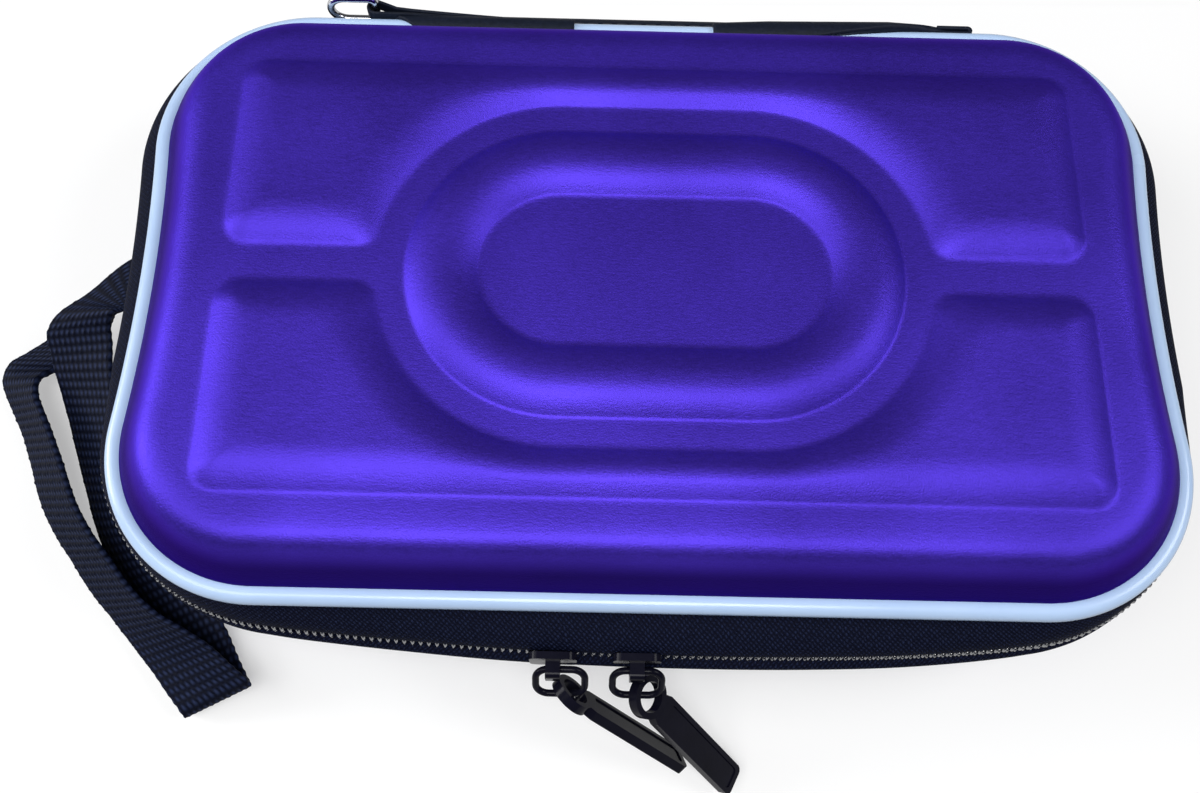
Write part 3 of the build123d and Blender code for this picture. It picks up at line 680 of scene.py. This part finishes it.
# Wrist strap: one length of black polypropylene webbing, sewn in at the left seam, folded at the far
# end and stitched back on itself. The stations give the upper and lower edge of the webbing.
web_mat, tree, shader = finish("black_webbing", (0.004, 0.006, 0.016), 0.6, Specular_IOR_Level=0.07)
run, across = run_and_across(tree)[:2]
place = add(tree, "ShaderNodeTexCoord").outputs["Object"]
fibre = add(tree, "ShaderNodeTexNoise", {"Vector": place, "Scale": 1900.0, "Detail": 3.0})
# Painted highlight on the raised picks of the weave and painted shade between them, laid out on the weave's own rows.
picks_painted_highlight = calc(tree, "MULTIPLY", wave(tree, run, 0.00175), wave(tree, across, 0.00125))
tint(tree, shader, calc(tree, "MULTIPLY_ADD", picks_painted_highlight, 0.85, calc(tree, "MULTIPLY", fibre.outputs["Fac"], 0.15)),
     (0.0006, 0.0010, 0.0050), (0.022, 0.032, 0.080))
relief(tree, shader, fibre.outputs["Fac"], 0.5, 0.00015)
STRAP = [
    ((-89.5, 0.8, 19.3), (-89.5, 15.8, 19.3)), ((-93.4, 1.2, 18.8), (-94.5, 14.8, 18.8)),
    ((-96.4, 1.6, 18.5), (-99.8, 11.7, 18.0)), ((-98.8, 1.4, 18.6), (-107.4, 5.7, 15.6)),
    ((-100.7, 0.3, 18.6), (-114.6, 1.0, 13.0)), ((-101.6, -1.4, 16.3), (-115.8, -1.0, 11.6)),
    ((-101.5, -3.9, 14.9), (-115.6, -3.2, 9.8)), ((-101.4, -8.1, 13.6), (-115.0, -6.5, 7.6)),
    ((-100.6, -12.9, 12.5), (-113.7, -10.7, 5.6)), ((-99.5, -18.3, 12.1), (-111.9, -15.9, 4.0)),
    ((-97.8, -24.5, 11.7), (-109.7, -22.1, 3.0)), ((-95.0, -31.6, 11.2), (-106.8, -29.8, 2.2)),
    ((-91.9, -37.8, 10.5), (-103.9, -37.1, 1.6)), ((-87.2, -43.0, 9.1), (-99.8, -44.7, 1.2)),
    ((-82.0, -47.6, 6.7), (-94.9, -52.4, 0.9)), ((-76.2, -55.6, 4.7), (-89.6, -61.2, 0.8)),
    ((-72.4, -62.1, 5.3), (-85.5, -67.8, 0.8)), ((-70.5, -64.8, 6.2), (-83.5, -70.4, 1.3)),
    ((-69.7, -65.6, 7.4), (-82.7, -71.2, 2.3)), ((-69.9, -65.2, 8.8), (-82.8, -70.7, 3.4)),
    ((-72.3, -63.3, 10.0), (-85.1, -68.0, 3.6)), ((-76.4, -60.0, 10.7), (-89.1, -63.3, 3.4)),
    ((-81.4, -57.1, 11.8), (-93.3, -58.8, 2.8)), ((-86.8, -54.3, 12.0), (-97.9, -54.0, 1.9)),
    ((-92.4, -49.8, 11.2), (-103.4, -48.5, 1.1)), ((-97.2, -44.4, 11.1), (-108.0, -42.8, 0.8)),
    ((-101.7, -39.3, 11.0), (-112.5, -37.1, 0.8)), ((-105.4, -33.7, 11.1), (-116.0, -31.3, 0.8)),
    ((-108.4, -27.4, 11.4), (-118.7, -24.9, 0.8)), ((-111.6, -21.1, 11.5), (-121.6, -18.4, 0.9)),
    ((-114.2, -16.5, 11.2), (-123.9, -14.2, 1.2)), ((-116.2, -13.0, 10.4), (-125.8, -10.9, 1.6)),
    ((-116.9, -9.2, 8.9), (-127.2, -7.5, 2.2)), ((-114.6, -5.6, 5.8), (-126.4, -4.3, 2.8)),
    ((-110.4, -2.6, 6.6), (-122.9, -1.9, 3.6)), ((-106.0, -0.6, 9.6), (-118.8, 0.4, 5.2)),
    ((-102.4, 0.6, 14.2), (-115.4, 2.0, 9.2)), ((-100.9, 1.2, 16.8), (-113.2, 3.2, 12.0)),
    ((-99.2, 2.0, 17.5), (-107.4, 6.2, 14.6)),
]
WEB_PICK, WEB_END, WEB_WIDE = 1.75, 1.25, 15.0
edges = smooth_profile([np.concatenate([a, b]) for a, b in STRAP], 820)
upper, lower = edges[:, :3], edges[:, 3:]
middle = (upper + lower) / 2.0
thick = np.cross(lower - upper, np.gradient(middle, axis=0))
thick = thick / np.linalg.norm(thick, axis=1)[:, None]
run = length_along(middle) * 1000.0
rounded = [(0.0, 0.0), (0.006, 0.34), (0.02, 0.5)]
face = [(a, 0.52) for a in np.linspace(0.04, 0.96, 45)]
half = rounded + face + [(1.0 - a, t) for a, t in rounded[:0:-1]]
shape = half + [(1.0 - a, -t) for a, t in half]
rings = []
for a, t in shape:
    pick, end = math.pi * run / WEB_PICK, math.pi * a * WEB_WIDE / WEB_END
    bump = np.sin(pick) ** 2 * math.sin(end) ** 2 + 0.45 * np.cos(pick) ** 2 * math.cos(end) ** 2
    uneven = 1.0 + 0.22 * np.sin(0.9 * run + 31.0 * a) + 0.18 * np.sin(2.3 * run - 53.0 * a)
    height = math.copysign(1.0, t) * (abs(t) + 0.24 * uneven * bump * (abs(t) > 0.4)) if t else np.zeros(len(run))
    scallop = (0.5 - a) / WEB_WIDE * 0.36 * np.sin(pick) ** 2 * (abs(a - 0.5) > 0.47)
    rings.append(upper + (lower - upper) * (a + scallop)[:, None] + thick * np.asarray(height)[:, None])
strap = swept_piece("wrist_strap_webbing", np.stack(rings, axis=1), web_mat)
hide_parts("wrist_strap")
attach(strap, "base")

# Stitching: black bonded thread in straight runs, one stitch made and set along each seam. It holds
# the bindings, the hinge and the ends of the elastic band.
thread_mat, tree, shader = finish("black_thread", (0.012, 0.014, 0.026), 0.45, Specular_IOR_Level=0.4)
place = add(tree, "ShaderNodeTexCoord").outputs["Object"]
twist = add(tree, "ShaderNodeTexNoise", {"Vector": place, "Scale": 2500.0, "Detail": 1.0})
tint(tree, shader, twist.outputs["Fac"], (0.006, 0.008, 0.016), (0.028, 0.032, 0.050))
relief(tree, shader, twist.outputs["Fac"], 0.5, 0.0001)
STITCH_PITCH = 2.8
stitch = bead_item("stitch", [(x, 0.0, 0.0) for x in (-1.05, -0.8, 0.0, 0.8, 1.05)],
                   [0.06, 0.2, 0.23, 0.2, 0.06])


def around_binding(z):
    line = rim_path(-6.0, z)
    return np.vstack([line, line[:1]])


band_rows = [np.column_stack([np.linspace(9.5, 30.5, 10), np.full(10, y), np.full(10, 4.86)])
             for y in (-37.0, -35.0, 35.0, 37.0)]
lid_seam = [np.column_stack([np.linspace(-48.0, 56.0, 40), np.full(40, HALF_D + 4.0), np.full(40, 32.9)])]
base_seam = [np.column_stack([np.linspace(-48.0, 56.0, 40), np.full(40, HALF_D + 4.0), np.full(40, 19.1)])]
for body, rows in (("lid", [around_binding(34.6)] + lid_seam),
                   ("base", [around_binding(17.4)] + base_seam + band_rows)):
    seams = set_along(body + "_stitches", rows, stitch, STITCH_PITCH, thread_mat, "AUTO")
    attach(seams, body)
bpy.data.objects.remove(stitch)

# Bindings: narrow black grosgrain ribbon folded over the sewn edges inside both rims, so that no cut
# edge of foam or tape shows. The lower one is the upper one turned over.
binding_mat, tree, shader = finish("black_grosgrain", (0.012, 0.013, 0.020), 0.6, Specular_IOR_Level=0.3)
rib = wave(tree, run_and_across(tree)[0], 0.0007)
place = add(tree, "ShaderNodeTexCoord").outputs["Object"]
lint = add(tree, "ShaderNodeTexNoise", {"Vector": place, "Scale": 1200.0, "Detail": 2.0})
tint(tree, shader, calc(tree, "MULTIPLY_ADD", rib, 0.6, calc(tree, "MULTIPLY", lint.outputs["Fac"], 0.4)),
     (0.006, 0.007, 0.012), (0.028, 0.030, 0.042))
relief(tree, shader, rib, 0.6, 0.0002)
ribbon = [(-5.0, 36.4), (-5.35, 36.55), (-5.75, 36.4), (-5.92, 36.0), (-5.92, 31.5), (-5.75, 31.15),
          (-5.3, 31.05), (-3.4, 31.1), (-3.2, 31.3), (-3.2, 31.9), (-4.6, 32.0), (-4.6, 33.0), (-5.0, 33.0)]
for body in ("lid", "base"):
    section = ribbon if body == "lid" else [(u, 2.0 * ZIP_Z - z) for u, z in ribbon]
    binding = rim_strip(body + "_edge_ribbon", section, binding_mat)
    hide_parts(body + "_binding")
    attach(binding, body)


# Lid pocket: knotless polyester net sewn to the lid's binding on three sides, its open edge held by
# ribbed elastic. The net is cut flat and stretched across the lid.
def inside_outline(points, outline):
    x, y = points[:, 0][:, None], points[:, 1][:, None]
    x0, y0 = outline[:, 0], outline[:, 1]
    x1, y1 = np.roll(x0, -1), np.roll(y0, -1)
    crosses = ((y0 > y) != (y1 > y)) & (x < (x1 - x0) * (y - y0) / np.where(y1 == y0, 1e-9, y1 - y0) + x0)
    return crosses.sum(axis=1) % 2 == 1


NET_PITCH, NET_THREAD, NET_Z, NET_FRONT = 1.9, 0.26, 37.0, -8.0
net_edge = rim_path(-5.5, NET_Z, step=2.0)[:, :2]
strands = []
for slope in (1.0, -1.0):
    way = np.array([1.0, slope]) / math.sqrt(2.0)
    side = np.array([-way[1], way[0]])
    for k in range(-52, 53):
        t = np.arange(-68, 69)
        spots = side * (k * NET_PITCH) + (0.0, 20.0) + way * (t * NET_PITCH)[:, None]
        keep = inside_outline(spots, net_edge) & (spots[:, 1] > NET_FRONT)
        if keep.sum() > 1:
            lift = 0.12 * slope * np.where((t + k) % 2, 1.0, -1.0)
            strands.append(np.column_stack([spots, NET_Z + lift])[keep])
starts = np.cumsum([0] + [len(line) for line in strands])
net_path = bpy.data.meshes.new("pocket_net")
net_path.from_pydata([tuple(p) for p in np.concatenate(strands) * 0.001],
                     [(int(i), int(i) + 1) for a, b in zip(starts[:-1], starts[1:]) for i in range(a, b - 1)], [])
net = bpy.data.objects.new("pocket_net", net_path)
scene.collection.objects.link(net)
net_mat, tree, shader = finish("black_net_thread", (0.011, 0.012, 0.018), 0.5, Specular_IOR_Level=0.3)
place = add(tree, "ShaderNodeTexCoord").outputs["Object"]
lint = add(tree, "ShaderNodeTexNoise", {"Vector": place, "Scale": 1600.0, "Detail": 2.0})
tint(tree, shader, lint.outputs["Fac"], (0.006, 0.007, 0.011), (0.024, 0.026, 0.036))
relief(tree, shader, lint.outputs["Fac"], 0.3, 0.0001)
tree = bpy.data.node_groups.new("net_threads", "GeometryNodeTree")
tree.interface.new_socket("Geometry", in_out="INPUT", socket_type="NodeSocketGeometry")
thread_in = tree.interface.new_socket("Thread radius", in_out="INPUT", socket_type="NodeSocketFloat")
finish_in = tree.interface.new_socket("Finish", in_out="INPUT", socket_type="NodeSocketMaterial")
tree.interface.new_socket("Geometry", in_out="OUTPUT", socket_type="NodeSocketGeometry")
given = tree.nodes.new("NodeGroupInput").outputs
curve = add(tree, "GeometryNodeMeshToCurve", {0: given["Geometry"]})
round_thread = add(tree, "GeometryNodeCurvePrimitiveCircle", {"Resolution": 4, "Radius": given["Thread radius"]})
tubes = add(tree, "GeometryNodeCurveToMesh", {"Curve": curve.outputs[0], "Profile Curve": round_thread.outputs[0],
                                              "Fill Caps": True})
smooth = add(tree, "GeometryNodeSetShadeSmooth", {"Geometry": tubes.outputs[0]})
real = add(tree, "GeometryNodeRealizeInstances", {0: smooth.outputs[0]})
coated = add(tree, "GeometryNodeSetMaterial", {"Geometry": real.outputs[0], "Material": given["Finish"]})
tree.links.new(coated.outputs[0], tree.nodes.new("NodeGroupOutput").inputs[0])
modifier = net.modifiers.new("threads", "NODES")
modifier.node_group = tree
modifier[thread_in.identifier] = NET_THREAD * 0.001
modifier[finish_in.identifier] = net_mat
as_plain_mesh(net, modifier)
elastic_rings = []
for x in np.linspace(-82.3, 82.3, 300):
    angles = np.linspace(0.0, 2 * math.pi, 36, endpoint=False)
    gather = 0.1 * math.sin(2 * math.pi * x / 2.4)
    y = -9.0 + 2.0 * np.sign(np.cos(angles)) * np.abs(np.cos(angles)) ** 0.5
    swell = 0.68 + 0.08 * np.cos(10 * angles) + gather * 0.6
    z = 37.3 + swell * np.sign(np.sin(angles)) * np.abs(np.sin(angles)) ** 0.5
    elastic_rings.append(np.column_stack([np.full(36, x), y, z]))
elastic = swept_piece("pocket_edge_elastic", elastic_rings, binding_mat)
band_rings = []
for y in np.linspace(-39.0, 39.0, 60):
    across_band = np.linspace(0.0, 1.0, 90)
    ribs = 0.1 * np.cos(2 * math.pi * across_band * 15)
    selvedge = 0.3 * (np.abs(across_band - 0.5) > 0.497)
    top = np.column_stack([8.0 + 24.0 * across_band, np.full(90, y), 4.66 + ribs - selvedge])
    bottom = np.column_stack([32.0 - 24.0 * across_band, np.full(90, y), np.full(90, 3.65)])
    band_rings.append(np.vstack([top, bottom]))
band = swept_piece("retaining_elastic", band_rings, binding_mat)
for piece, node, slot, body in ((net, "mesh_pocket", "net", "lid"), (elastic, "pocket_elastic", "binding", "lid"),
                                (band, "retaining_band", "binding", "base")):
    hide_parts(node)
    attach(piece, body)

low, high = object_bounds()
